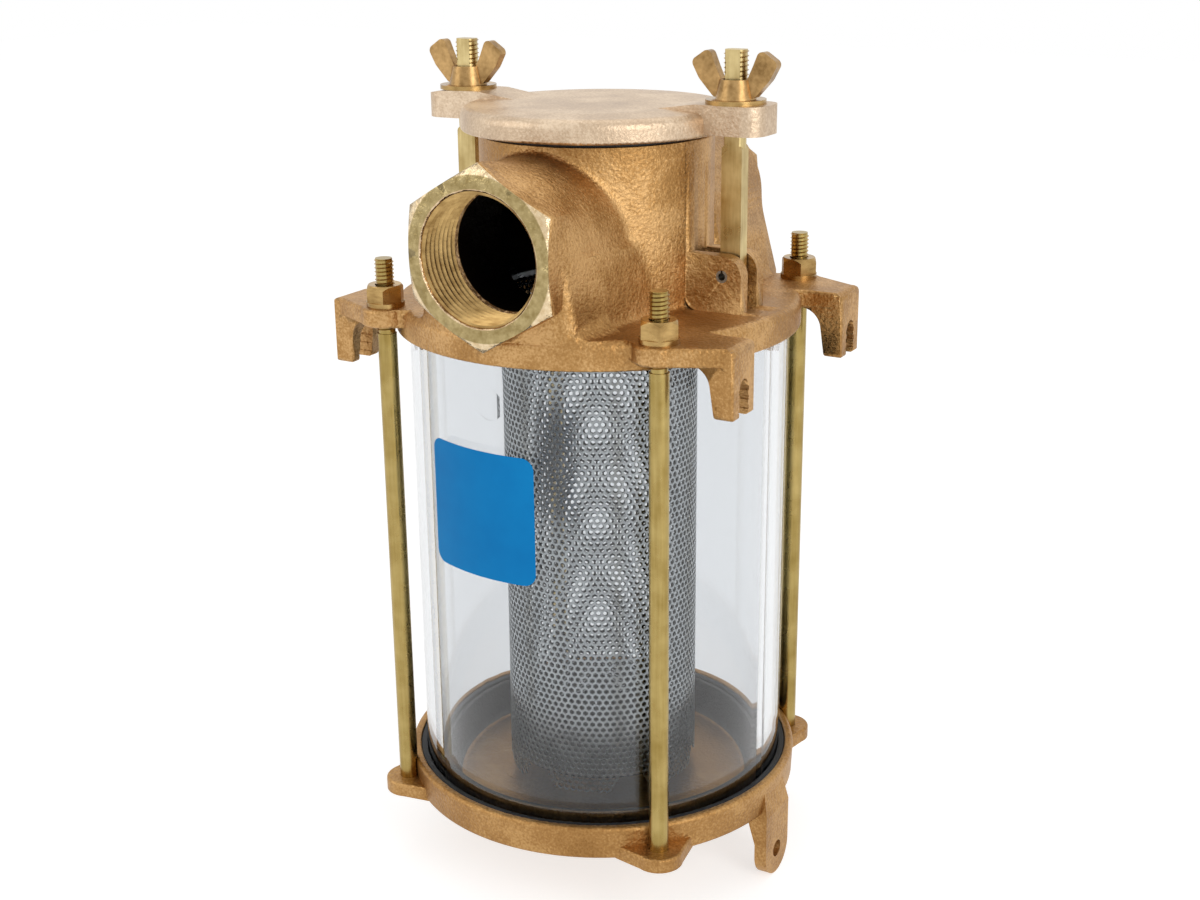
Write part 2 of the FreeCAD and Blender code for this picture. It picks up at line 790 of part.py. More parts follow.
disc = turned([
    (0, cover_seat, 0),
    (cover_radius, cover_seat, 0.8),
    (cover_radius, cover_seat + cover_thickness - cover_dome_drop, cover_edge_radius),
    (cover_radius - 12.0, cover_seat + cover_thickness - 0.2, 30.0),
    (0, cover_seat + cover_thickness, 0),
])


def cover_ear():
    """Ear of the cover on +X, flat on top and fading into the disc."""
    outline = plate([
        (ear_ridge_inner_x, -ear_half_width + 1.5, 5.0),
        (ear_end_x, -ear_half_width, 6.0),
        (ear_end_x, ear_half_width, 6.0),
        (ear_ridge_inner_x, ear_half_width - 1.5, 5.0),
    ], ear_underside, ear_top + 2.0)
    side = slab_y([
        (ear_ridge_inner_x - 2.0, ear_underside + 2.0, 0),
        (40.0, ear_underside, 0),
        (ear_end_x + 1.0, ear_underside, 0),
        (ear_end_x + 1.0, ear_top, 0),
        (40.0, ear_top, 10.0),
        (ear_ridge_inner_x - 2.0, cover_seat + cover_thickness - 1.0, 0),
    ], -15.0, 15.0)
    return outline.common(side)


cover_ear_right = cover_ear()
cover = joined([disc, cover_ear_right, opposite(cover_ear_right)])
right_hole = upright(ear_hole_radius, 0.0, 400.0, pivot_x)
left_hole = upright(ear_hole_radius, 0.0, 400.0, -pivot_x)
left_slot = box(-ear_end_x - 2.0, -pivot_x, -ear_hole_radius, ear_hole_radius, 0.0, 400.0)
crown_radius = ear_top - pivot_height
crown_block = box(-ear_end_x - 2.0, -pivot_x, -15.0, 15.0, ear_underside, ear_top + 5.0)
crown_keep = level_y(crown_radius - swing_clearance, -16.0, 16.0, -pivot_x, pivot_height)
crown_cut = crown_block.cut(crown_keep)
cover = cover.cut([right_hole, left_hole, left_slot, crown_cut]).removeSplitter()
save("cover", cover)

# ---- tie rods with lock washers and nuts -----------------------------------------

for number, (sx, sy) in enumerate(corner_signs, start=1):
    x = sx * rod_offset
    y = sy * rod_offset
    rod = joined([
        upright(rod_radius, lug_top - lug_thickness, rod_shoulder, x, y),
        upright(rod_stud_radius, rod_shoulder - 1.0, flange_top + rod_stud_above_flange, x, y),
    ])
    save("tie_rod_" + str(number), rod)
    washer = ring(lock_washer_radius, rod_radius + 2.0 * thread_clearance, flange_top,
                  flange_top + lock_washer_thickness, x, y)
    split = box(0.0, 10.0, -0.5, 0.5, flange_top - 1.0, flange_top + lock_washer_thickness + 1.0)
    split.rotate(V(0, 0, 0), V(0, 0, 1), 35.0 + 90.0 * number)
    split.translate(V(x, y, 0))
    save("lock_washer_" + str(number), washer.cut(split))
    nut_base = flange_top + lock_washer_thickness
    nut = hexagon(hex_nut_across_flats, nut_base, nut_base + hex_nut_height, x, y)
    nut_corner = hex_nut_across_flats / math.sqrt(3.0)
    dome = Part.makeCone(nut_corner + 3.2, hex_nut_across_flats / 2.0 - 0.2, hex_nut_height,
                         V(x, y, nut_base), V(0, 0, 1))
    nut = nut.common(dome).cut(upright(rod_radius + thread_clearance, 0.0, 400.0, x, y))
    save("hex_nut_" + str(number), nut)

# ---- swing bolts, pins, washers and wing nuts ---------------------------------------


def swing_bolt(x):
    half = bolt_bar_width / 2.0
    bar = slab_y([
        (x - half, pivot_height, 0),
        (x + half, pivot_height, 0),
        (x + half, bolt_shoulder, 1.5),
        (x - half, bolt_shoulder, 1.5),
    ], -bolt_bar_thickness / 2.0, bolt_bar_thickness / 2.0)
    eye = level_y(half, -bolt_bar_thickness / 2.0, bolt_bar_thickness / 2.0, x, pivot_height)
    thread = upright(bolt_thread_radius, bolt_shoulder - 1.0, bolt_top, x)
    flats = box(x - 10.0, x + 10.0, -bolt_flat_half_width, bolt_flat_half_width, 0.0, 400.0)
    bolt = joined([bar, eye, thread.common(flats)])
    hole = level_y(pivot_pin_radius + pivot_clearance, -20.0, 20.0, x, pivot_height)
    return bolt.cut(hole)


def pivot_pin(x):
    reach = clevis_slot_width / 2.0 + clevis_ear_thickness
    pin = level_y(pivot_pin_radius, -reach, reach, x, pivot_height)
    bore = level_y(pivot_pin_bore_radius, -reach, reach, x, pivot_height)
    slit = box(x - 0.3, x + 0.3, -reach, reach, pivot_height, pivot_height + 5.0)
    return pin.cut([bore, slit])


def wing_nut(x):
    top = washer_top + wing_hub_height
    hub = Part.makeCone(wing_hub_radius_low, wing_hub_radius_high, wing_hub_height,
                        V(x, 0, washer_top), V(0, 0, 1))
    wing = slab_y([
        (x + 4.4, washer_top + 0.3, 0),
        (x + 7.0, washer_top + 0.5, 1.5),
        (x + 12.0, washer_top + 5.9, 6.0),
        (x + wing_reach - 0.4, washer_top + wing_tip_height - 4.4, 1.8),
        (x + 8.6, washer_top + wing_tip_height - 0.2, 1.8),
        (x + 6.3, washer_top + 9.9, 3.0),
        (x + 4.4, top - 0.2, 0),
    ], -wing_thickness / 2.0, wing_thickness / 2.0)
    other = wing.mirror(V(x, 0, 0), V(1, 0, 0))
    nut = joined([hub, wing, other])
    return nut.cut(upright(bolt_crest_radius + thread_clearance, 0.0, 400.0, x))


for side, x in (("left", -pivot_x), ("right", pivot_x)):
    save("swing_bolt_" + side, swing_bolt(x))
    save("pivot_pin_" + side, pivot_pin(x))
    save("flat_washer_" + side, ring(flat_washer_radius, bolt_crest_radius + 0.25, ear_top, washer_top, x))
    save("wing_nut_" + side, wing_nut(x))
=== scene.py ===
# %% [markdown]
# # A bronze sea water strainer
#
# The strainer stands in a boat's cooling water line. Water enters the front
# port, drops into a perforated basket, passes out through its holes into a
# clear cylinder, and leaves through the hood at the back. The castings, rods,
# nuts and seals come from the CAD model. This lesson gives them their finishes
# and adds what is too fine for the CAD: the perforated sheet and the threads.

import json
import math

import bmesh
import bpy
from mathutils import Matrix, Vector


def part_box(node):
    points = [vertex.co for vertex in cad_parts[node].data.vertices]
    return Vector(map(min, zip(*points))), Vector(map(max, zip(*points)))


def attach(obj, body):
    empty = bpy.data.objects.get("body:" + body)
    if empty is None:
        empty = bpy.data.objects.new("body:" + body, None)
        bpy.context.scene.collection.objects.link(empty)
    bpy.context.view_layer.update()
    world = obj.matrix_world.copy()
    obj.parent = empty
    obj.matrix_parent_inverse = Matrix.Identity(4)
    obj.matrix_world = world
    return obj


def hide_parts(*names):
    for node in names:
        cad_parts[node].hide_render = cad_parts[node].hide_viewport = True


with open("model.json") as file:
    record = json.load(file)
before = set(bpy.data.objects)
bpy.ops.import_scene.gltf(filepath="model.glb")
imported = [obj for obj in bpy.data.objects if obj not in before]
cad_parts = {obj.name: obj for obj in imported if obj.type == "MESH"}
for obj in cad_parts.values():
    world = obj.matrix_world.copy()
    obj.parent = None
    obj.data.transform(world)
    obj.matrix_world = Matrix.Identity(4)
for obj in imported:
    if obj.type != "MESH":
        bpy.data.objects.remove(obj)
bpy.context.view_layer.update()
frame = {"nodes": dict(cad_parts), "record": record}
MM = 0.001
print("CAD nodes:", len(frame["nodes"]))

# %% [markdown]
# New pieces start from primitives or copies, so a few small habits are kept as
# helpers. Everything is deselected before an operator runs, because operators
# act on whatever is selected. Edit mode is entered and left in one place. A
# finished piece has its place in its mesh, so its object is left at the origin.

# %% Helpers for modelling
def only(obj):
    """Select and activate one object."""
    bpy.ops.object.select_all(action="DESELECT")
    obj.select_set(True)
    bpy.context.view_layer.objects.active = obj
    return obj


def named(name):
    """The primitive just added, under its own name."""
    obj = bpy.context.object
    obj.name = name
    obj.data.name = name
    return obj


def edit(obj):
    """Edit mode on one object with nothing selected."""
    only(obj)
    bpy.ops.object.mode_set(mode="EDIT")
    bpy.ops.mesh.select_mode(type="FACE")
    bpy.ops.mesh.select_all(action="DESELECT")


def done():
    """Back to object mode."""
    bpy.ops.object.mode_set(mode="OBJECT")


def settle(obj):
    """Move the object's place, turn and scale into its mesh."""
    only(obj)
    bpy.ops.object.transform_apply(location=True, rotation=True, scale=True)
    return obj


def apply_all(obj):
    """Apply the object's modifiers in order."""
    only(obj)
    for modifier in list(obj.modifiers):
        bpy.ops.object.modifier_apply(modifier=modifier.name)
    return obj


bpy.ops.object.select_all(action="DESELECT")

# %% [markdown]
# Colours are written as the hex values a paint chart would give, which are
# sRGB. Shaders work in linear light, so one function converts them. A second
# helper adds any node with its settings and links, which keeps each material
# short enough to read.

# %% Helpers for materials
def linear(hex_colour):
    """sRGB hex to linear RGBA."""
    channels = []
    for start in (1, 3, 5):
        value = int(hex_colour[start:start + 2], 16) / 255
        channels.append(value / 12.92 if value <= 0.04045 else ((value + 0.055) / 1.055) ** 2.4)
    return (*channels, 1.0)


def add(tree, kind, settings=None, **sockets):
    """Add a node; a socket is given a value or another node's output."""
    node = tree.nodes.new(kind)
    for key, value in (settings or {}).items():
        setattr(node, key, value)
    for key, value in sockets.items():
        label = int(key[1:]) if key[0] == "_" else key.replace("_", " ")
        socket = node.inputs[label]
        if isinstance(value, bpy.types.NodeSocket):
            tree.links.new(value, socket)
        else:
            socket.default_value = value
    return node


def new_material(name):
    """An empty material: its tree, shader and object coordinates in metres."""
    material = bpy.data.materials.new(name)
    material.use_nodes = True
    tree = material.node_tree
    tree.nodes.clear()
    shader = add(tree, "ShaderNodeBsdfPrincipled")
    add(tree, "ShaderNodeOutputMaterial", Surface=shader.outputs[0])
    place = add(tree, "ShaderNodeTexCoord").outputs["Object"]
    return material, tree, shader, place


def opened(material):
    """The tree, shader and object coordinates of a finished material."""
    tree = material.node_tree
    return tree, tree.nodes["Principled BSDF"], tree.nodes["Texture Coordinate"].outputs["Object"]


def size(mm):
    """Noise scale for features of about this size in millimetres."""
    return 1.0 / (mm * MM)


def ramp(tree, value, stops):
    """Colour ramp through (position, hex colour)."""
    node = add(tree, "ShaderNodeValToRGB", Fac=value)
    elements = node.color_ramp.elements
    while len(elements) < len(stops):
        elements.new(0.5)
    for element, (position, colour) in zip(elements, stops):
        element.position = position
        element.color = linear(colour)
    return node.outputs["Color"]


def wear_masks(tree, place, coarse, fine):
    """Slow and fast noise, the two scales that a cast skin shows."""
    slow = add(tree, "ShaderNodeTexNoise", Vector=place, Scale=size(coarse),
               Detail=4.0, Roughness=0.6)
    fast = add(tree, "ShaderNodeTexNoise", Vector=place, Scale=size(fine),
               Detail=2.0, Roughness=0.6)
    return slow.outputs["Fac"], fast.outputs["Fac"]


def step(tree, value, at, softness=0.2 * MM):
    """0 below a value and 1 above it."""
    node = add(tree, "ShaderNodeMapRange", {"interpolation_type": "SMOOTHSTEP"}, Value=value,
               _1=at - softness, _2=at + softness)
    return node.outputs[0]


def maths(tree, operation, first, second=0.0):
    """One sum, product or comparison of two values."""
    return add(tree, "ShaderNodeMath", {"operation": operation}, _0=first, _1=second).outputs[0]


def distance(tree, place, keep, centre=(0.0, 0.0, 0.0)):
    """Distance from an axis: the direction along it is squeezed flat."""
    offset = [-k * c for k, c in zip(keep, centre)]
    flat = add(tree, "ShaderNodeMapping", Vector=place, Scale=keep, Location=offset)
    length = add(tree, "ShaderNodeVectorMath", {"operation": "LENGTH"}, _0=flat.outputs[0])
    return length.outputs["Value"]


def lay_over(tree, shader, mask, colour, roughness):
    """Mix another finish, or painted shade, over the present one where the mask is 1."""
    base = shader.inputs["Base Color"]
    mixed = add(tree, "ShaderNodeMix", {"data_type": "RGBA"},
                _0=mask, _6=base.links[0].from_socket, _7=colour)
    tree.links.new(mixed.outputs[2], base)
    rough = shader.inputs["Roughness"]
    mixed = add(tree, "ShaderNodeMix", {}, _0=mask, _2=rough.links[0].from_socket, _3=roughness)
    tree.links.new(mixed.outputs[0], rough)


# %% [markdown]
# ## Cast bronze
#
# The body and base are sand cast in bronze and tumbled, not polished. The sand
# leaves a skin of grains about a millimetre across, which scatters light,
# so the metal looks matt and golden brown. Slow noise gives the patches of the
# skin, faster noise the grains, and the grains also drive the bump.

# %% Sand-cast bronze
def sand_cast_bronze(name, dark, middle, light, grain_depth=0.5):
    material, tree, shader, place = new_material(name)
    slow, fast = wear_masks(tree, place, 20.0, 0.8)
    mixed = add(tree, "ShaderNodeMath", {"operation": "MULTIPLY_ADD"}, _0=fast, _1=0.7, _2=slow)
    skin = ramp(tree, mixed.outputs[0], [(0.55, dark), (0.82, middle), (1.1, light)])
    grain = add(tree, "ShaderNodeTexNoise", Vector=place, Scale=size(1.3),
                Detail=2.0, Roughness=0.6)
    bump = add(tree, "ShaderNodeBump", Strength=0.8, Distance=grain_depth * MM,
               Height=grain.outputs["Fac"])
    rough = add(tree, "ShaderNodeMapRange", Value=slow, _1=0.3, _2=0.7, _3=0.40, _4=0.48)
    tree.links.new(skin, shader.inputs["Base Color"])
    tree.links.new(rough.outputs[0], shader.inputs["Roughness"])
    tree.links.new(bump.outputs[0], shader.inputs["Normal"])
    shader.inputs["Metallic"].default_value = 1.0
    return material


# %% [markdown]
# Some places on the castings have another finish. The pipe hexagons were faced
# in a lathe, so their front ring, their chamfer and the bore behind it show
# yellow metal. The flats of the hexagon are left as cast: the chamfer falls
# back 0.45 mm for each millimetre outwards, and only points in front of that
# cone are cut. The passages inside the chamber and the ports are painted nearly
# black as painted shade, and in the base the surfaces inside, above the floor,
# are painted slate grey.

# %% Turned zones, painted shade and a grey band
ACROSS_Z = (1.0, 1.0, 0.0)
ACROSS_Y = (1.0, 0.0, 1.0)
inlet = next(mount for mount in frame["record"]["mounts"] if mount["name"] == "inlet_port")
PORT_HEIGHT = inlet["pos_m"][2]
CHAMBER_FLOOR = 200.0 * MM
DARK_CHAMBER_RADIUS = 35.3 * MM
DARK_PORT_RADIUS = 19.3 * MM
CHAMFER_FALL = 0.45
CHAMFER_CONE = 82.1 * MM
HEXAGON_REACH = 29.6 * MM
FRONT_FACE = 70.8 * MM
BORE_END = 53.0 * MM
BORE_INNER = 19.4 * MM
BORE_OUTER = 21.2 * MM
GREY_BAND_BOTTOM = 26.8 * MM
GREY_BAND_RADIUS = 57.25 * MM

bronze = sand_cast_bronze("sand_cast_bronze", "#926A3B", "#AC8350", "#C79F6B")
tree, shader, place = opened(bronze)
split = add(tree, "ShaderNodeSeparateXYZ", Vector=place)
out = maths(tree, "ABSOLUTE", split.outputs["Y"])
from_port = distance(tree, place, ACROSS_Y, (0.0, 0.0, PORT_HEIGHT))
from_middle = distance(tree, place, ACROSS_Z)
# Painted shade: the inside of the chamber and of the ports is painted nearly black.
inside_chamber = maths(tree, "SUBTRACT", step(tree, split.outputs["Z"], CHAMBER_FLOOR),
                       step(tree, from_middle, DARK_CHAMBER_RADIUS))
inside_port = maths(tree, "SUBTRACT", 1.0, step(tree, from_port, DARK_PORT_RADIUS))
painted_shade_inside = maths(tree, "MAXIMUM", inside_chamber, inside_port)
lay_over(tree, shader, painted_shade_inside, linear("#17110C"), 0.7)
on_cone = add(tree, "ShaderNodeMath", {"operation": "MULTIPLY_ADD"},
              _0=from_port, _1=CHAMFER_FALL, _2=out)
near_port = maths(tree, "SUBTRACT", 1.0, step(tree, from_port, HEXAGON_REACH))
past_cone = step(tree, on_cone.outputs[0], CHAMFER_CONE, 0.05 * MM)
chamfer = maths(tree, "MULTIPLY", past_cone, near_port)
front_face = step(tree, out, FRONT_FACE, 0.1 * MM)
deep = step(tree, out, BORE_END)
bore = maths(tree, "SUBTRACT", deep, step(tree, from_port, BORE_OUTER))
bore = maths(tree, "MULTIPLY", bore, step(tree, from_port, BORE_INNER))
turning = add(tree, "ShaderNodeTexNoise", Vector=place, Scale=size(2.0), Detail=4.0).outputs["Fac"]
lay_over(tree, shader, chamfer, ramp(tree, turning, [(0.3, "#C9AE84"), (0.7, "#EBD7B4")]), 0.25)
lay_over(tree, shader, front_face, ramp(tree, turning, [(0.3, "#8F7C50"), (0.7, "#B5A274")]), 0.3)
lay_over(tree, shader, bore, ramp(tree, turning, [(0.3, "#B59670"), (0.7, "#E0C7A4")]), 0.25)

base_bronze = sand_cast_bronze("sand_cast_bronze_base", "#8B6437", "#A57C4A", "#BD9560")
tree, shader, place = opened(base_bronze)
split = add(tree, "ShaderNodeSeparateXYZ", Vector=place)
# Inside the base, the surfaces above the floor are painted slate grey.
inner = maths(tree, "SUBTRACT", step(tree, split.outputs["Z"], GREY_BAND_BOTTOM),
              step(tree, distance(tree, place, ACROSS_Z), GREY_BAND_RADIUS))
lay_over(tree, shader, inner, linear("#45433F"), 0.45)
pale_bronze = sand_cast_bronze("tumbled_pale_bronze", "#B49C83", "#CAB398", "#DCC7AD", 0.25)

# %% [markdown]
# ## Brass and steel
#
# The rods are drawn bar: a die leaves faint lines along their length and a
# dull olive skin. Nuts and washers are turned from bar and brighter. All use
# metallic 1 with the default IOR, and differ in colour, roughness and the
# direction in which their fine lines run, made by squeezing the noise.

# %% Drawn, turned and sheet metals
def worked_metal(name, dark, light, roughness, line_mm, stretch, strength=0.15):
    material, tree, shader, place = new_material(name)
    squeezed = add(tree, "ShaderNodeMapping", Vector=place, Scale=stretch).outputs[0]
    lines = add(tree, "ShaderNodeTexNoise", Vector=squeezed, Scale=size(line_mm),
                Detail=3.0).outputs["Fac"]
    patches = add(tree, "ShaderNodeTexNoise", Vector=place, Scale=size(9.0),
                  Detail=3.0).outputs["Fac"]
    mixed = add(tree, "ShaderNodeMath", {"operation": "MULTIPLY_ADD"},
                _0=lines, _1=0.5, _2=patches)
    colour = ramp(tree, mixed.outputs[0], [(0.5, dark), (1.0, light)])
    rough = add(tree, "ShaderNodeMapRange", Value=patches, _1=0.3, _2=0.7,
                _3=roughness - 0.06, _4=roughness + 0.08)
    bump = add(tree, "ShaderNodeBump", Strength=strength, Distance=0.08 * MM, Height=lines)
    tree.links.new(colour, shader.inputs["Base Color"])
    tree.links.new(rough.outputs[0], shader.inputs["Roughness"])
    tree.links.new(bump.outputs[0], shader.inputs["Normal"])
    shader.inputs["Metallic"].default_value = 1.0
    return material


drawn_brass = worked_metal("drawn_brass_bar", "#927B42", "#B49E64", 0.26, 1.0, (1.0, 1.0, 0.05))
bar_brass = worked_metal("flat_brass_bar", "#A8905C", "#D8C48E", 0.32, 1.0, (1.0, 1.0, 0.1))
turned_brass = worked_metal("turned_brass", "#84663A", "#CDAB70", 0.25, 1.2, (0.3, 0.3, 1.0))
forged_brass = worked_metal("forged_brass", "#7C5E36", "#C6A16C", 0.30, 1.4, (1.0, 1.0, 1.0), 0.3)
basket_steel = worked_metal("perforated_stainless_sheet", "#A0A4A6", "#BEC2C3", 0.30, 0.8,
                            (1.0, 1.0, 0.2))
spring_steel = worked_metal("rolled_spring_steel", "#7C7A74", "#B9B6AE", 0.30, 0.8, (1.0, 0.1, 1.0))

# %% [markdown]
# ## Rubber, clear plastic and the label
#
# The seals are moulded nitrile rubber, nearly black with a dry sheen. The
# cylinder is clear polycarbonate, so it needs real transmission at IOR 1.49
# and a thick wall, which darkens its edges by itself. The label is a blue
# printed film with a low sheen and is left plain.

# %% Rubber, clear plastic and film
def moulded_rubber():
    material, tree, shader, place = new_material("moulded_nitrile_rubber")
    slow, fast = wear_masks(tree, place, 8.0, 0.6)
    colour = ramp(tree, slow, [(0.35, "#0C0C0D"), (0.7, "#1E1E20")])
    bump = add(tree, "ShaderNodeBump", Strength=0.2, Distance=0.1 * MM, Height=fast)
    tree.links.new(colour, shader.inputs["Base Color"])
    tree.links.new(bump.outputs[0], shader.inputs["Normal"])
    shader.inputs["Roughness"].default_value = 0.55
    return material


def clear_polycarbonate():
    material, tree, shader, place = new_material("clear_polycarbonate")
    shader.inputs["Base Color"].default_value = linear("#E6E8EA")
    shader.inputs["Transmission Weight"].default_value = 1.0
    shader.inputs["Roughness"].default_value = 0.0
    shader.inputs["IOR"].default_value = 1.49
    ripple = add(tree, "ShaderNodeTexNoise", Vector=place, Scale=size(30.0), Detail=1.0)
    bump = add(tree, "ShaderNodeBump", Strength=0.05, Distance=0.3 * MM, Height=ripple.outputs["Fac"])
    tree.links.new(bump.outputs[0], shader.inputs["Normal"])
    return material


def printed_film():
    material, tree, shader, place = new_material("blue_printed_film")
    slow, fast = wear_masks(tree, place, 25.0, 0.8)
    colour = ramp(tree, slow, [(0.3, "#0583CC"), (0.7, "#0A90D8")])
    bump = add(tree, "ShaderNodeBump", Strength=0.05, Distance=0.05 * MM, Height=fast)
    tree.links.new(colour, shader.inputs["Base Color"])
    tree.links.new(bump.outputs[0], shader.inputs["Normal"])
    shader.inputs["Roughness"].default_value = 0.5
    shader.inputs["Specular IOR Level"].default_value = 0.15
    return material


# Painted shade: the inner face of the basket sheet is painted dark grey, so that the holes look dark.
BASKET_INSIDE = 32.9 * MM
tree, shader, place = opened(basket_steel)
outside = step(tree, distance(tree, place, ACROSS_Z), BASKET_INSIDE, 0.1 * MM)
inside = maths(tree, "SUBTRACT", 1.0, outside)
lay_over(tree, shader, inside, linear("#2C2E30"), 0.6)
rubber = moulded_rubber()
clear = clear_polycarbonate()
film = printed_film()

# %% [markdown]
# The CAD nodes keep their shapes. Each is given the finish of the real piece,
# found by the start of its name.

# %% Finishes for the CAD nodes
finishes = {
    "base": base_bronze, "strainer_body": bronze, "cover": pale_bronze, "drain_plug": turned_brass,
    "lower_gasket": rubber, "upper_gasket": rubber, "cover_gasket": rubber,
    "clear_cylinder": clear, "label": film, "tie_rod": drawn_brass, "swing_bolt": bar_brass,
    "lock_washer": turned_brass, "hex_nut": turned_brass, "flat_washer": turned_brass,
    "wing_nut": forged_brass, "pivot_pin": spring_steel, "basket": basket_steel,
}
for name, obj in frame["nodes"].items():
    start = max((key for key in finishes if name.startswith(key)), key=len)
    obj.data.materials.clear()
    obj.data.materials.append(finishes[start])
print("finishes given to", len(frame["nodes"]), "nodes")

# %% [markdown]
# ## The neck of the inlet
#
# In the CAD model the neck widens to a rim of its own before it meets the
# chamber. A real casting has no such rim: neck, chamber and flange run into
# each other in soft hollows, where the sand mould was rounded. A copy of the
# body takes the node's place. It is cut in front of the wide part and behind
# it, and what stands out between the two cuts is deleted. Normals weighted by
# area keep the long thin faces from showing as stripes.

# %% Copy of the body without the wide part
SPLIT = -46.0 * MM
NECK_END = -9.0 * MM
HALF_WIDTH = 44.0 * MM
FLANGE_TOP = 201.05 * MM
CHAMBER_TOP = 254.0 * MM
CHAMBER_WALL = 37.5 * MM
PASSAGE_RADIUS = 20.0 * MM

only(frame["nodes"]["strainer_body"])
bpy.ops.object.duplicate()
body_casting = named("body_casting")
edit(body_casting)
bpy.ops.mesh.select_all(action="SELECT")
bpy.ops.mesh.remove_doubles(threshold=0.001 * MM)
for cut_y in (SPLIT, NECK_END):
    bpy.ops.mesh.select_all(action="SELECT")
    bpy.ops.mesh.bisect(plane_co=(0, cut_y, 0), plane_no=(0, 1, 0))
bpy.ops.mesh.select_all(action="DESELECT")
mesh = bmesh.from_edit_mesh(body_casting.data)
for face in mesh.faces:
    centre = face.calc_center_median()
    behind = SPLIT < centre.y < NECK_END and abs(centre.x) < HALF_WIDTH
    above = FLANGE_TOP < centre.z < CHAMBER_TOP
    outside = math.hypot(centre.x, centre.y) > CHAMBER_WALL
    from_bore = math.hypot(centre.x, centre.z - PORT_HEIGHT) > PASSAGE_RADIUS
    face.select_set(behind and above and outside and from_bore)
bmesh.update_edit_mesh(body_casting.data)
bpy.ops.mesh.delete(type="FACE")
done()
only(body_casting)
bpy.ops.object.shade_smooth_by_angle(angle=math.radians(30))
even = body_casting.modifiers.new("weighted_normals", "WEIGHTED_NORMAL")
even.keep_sharp = True
apply_all(body_casting)
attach(body_casting, "strainer")
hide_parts("strainer_body")

# %% [markdown]
# The new neck is made as the pattern maker would: plain pieces are stuck
# together and the corners between them are filled. A cylinder, a block with
# leaning sides, the wall of the chamber and the face of the flange are joined,
# remeshed into one skin of even squares, and smoothed, which hollows the
# corners. Then the passage and the chamber are cut out again.

# %% Neck with soft hollows
BLOCK_Y = -31.0 * MM
BLOCK_Z = 212.0 * MM
BLOCK_LENGTH = 38.0 * MM
BLOCK_HEIGHT = 25.0 * MM
BLOCK_HALF_WIDTHS = {("back", "high"): 30.5, ("back", "low"): 34.5,
                     ("front", "high"): 27.1, ("front", "low"): 29.3}
NECK_BACK = -3.2 * MM
NECK_TOP = 254.05 * MM


def rod(name, radius, start, end, along_y=False, height=0.0):
    """A solid cylinder along Z, or along Y at a height."""
    middle = (start + end) / 2
    place = (0, middle, height) if along_y else (0, 0, middle)
    turn = (math.pi / 2, 0, 0) if along_y else (0, 0, 0)
    bpy.ops.mesh.primitive_cylinder_add(vertices=96, radius=radius, depth=end - start,
                                        location=place, rotation=turn)
    return settle(named(name))


neck = rod("inlet_neck", 27.1 * MM, -50.0 * MM, -12.0 * MM, True, PORT_HEIGHT)
wall = rod("chamber_wall", 38.47 * MM, 193.0 * MM, 264.0 * MM)
flange = rod("flange_face", 61.5 * MM, 198.2 * MM, 200.85 * MM)
bpy.ops.mesh.primitive_cube_add(size=1.0, location=(0, BLOCK_Y, BLOCK_Z),
                                scale=(1.0, BLOCK_LENGTH, BLOCK_HEIGHT))
block = settle(named("neck_block"))
for vertex in block.data.vertices:
    end = "back" if vertex.co.y > BLOCK_Y else "front"
    level = "high" if vertex.co.z > BLOCK_Z else "low"
    vertex.co.x = math.copysign(BLOCK_HALF_WIDTHS[end, level] * MM, vertex.co.x)
only(neck)
for obj in (wall, flange, block):
    obj.select_set(True)
bpy.ops.object.join()
skin = neck.modifiers.new("one_skin", "REMESH")
skin.mode = "VOXEL"
skin.voxel_size = 0.8 * MM
soft = neck.modifiers.new("soft_corners", "SMOOTH")
soft.factor = 0.5
soft.iterations = 30
apply_all(neck)
edit(neck)
for point, normal in (((0, NECK_BACK, 0), (0, 1, 0)), ((0, 0, NECK_TOP), (0, 0, 1))):
    bpy.ops.mesh.select_all(action="SELECT")
    bpy.ops.mesh.bisect(plane_co=point, plane_no=normal, clear_outer=True, use_fill=True)
done()
for cutter in (rod("passage", PASSAGE_RADIUS, -60.0 * MM, 10.0 * MM, True, PORT_HEIGHT),
               rod("chamber_bore", 35.4 * MM, 180.0 * MM, 260.0 * MM)):
    cut = neck.modifiers.new("cut", "BOOLEAN")
    cut.operation = "DIFFERENCE"
    cut.object = cutter
    apply_all(neck)
    only(cutter)
    bpy.ops.object.delete()
only(neck)
bpy.ops.object.shade_smooth_by_angle(angle=math.radians(40))
neck.data.materials.clear()
neck.data.materials.append(bronze)
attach(neck, "strainer")
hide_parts("strainer_body")
print("neck triangles:", sum(len(polygon.vertices) - 2 for polygon in neck.data.polygons))

# %% [markdown]
# ## The perforated basket
#
# The basket is rolled from sheet punched with round holes in a staggered
# pattern. One hole and the sheet round it is a hexagon, so one hexagon with a
# smaller one cut out of it is modelled and repeated flat, as the sheet would
# be, then given its thickness and rolled into a tube. The hole pitch is set so
# that a whole number of holes goes round.

# %% Punched sheet, flat
basket_low, basket_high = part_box("basket_tube")
basket_radius = (basket_high[0] - basket_low[0]) / 2
sheet_thickness = 0.8 * MM
holes_round = 88
pitch = 2 * math.pi * basket_radius / holes_round
row_height = pitch * math.sqrt(3) / 2
hole_radius = 0.41 * pitch
row_pairs = int((basket_high[2] - basket_low[2]) / (2 * row_height))


def hexagon_cell(name, x, y):
    """One hole and its share of the sheet, flat in XY."""
    bpy.ops.mesh.primitive_circle_add(vertices=6, radius=pitch / math.sqrt(3), fill_type="NGON",
                                      location=(x, y, 0))
    cell = named(name)
    edit(cell)
    bpy.ops.mesh.select_all(action="SELECT")
    bpy.ops.mesh.inset(thickness=pitch / 2 - hole_radius * math.cos(math.pi / 6))
    bpy.ops.mesh.delete(type="FACE")
    done()
    return settle(cell)


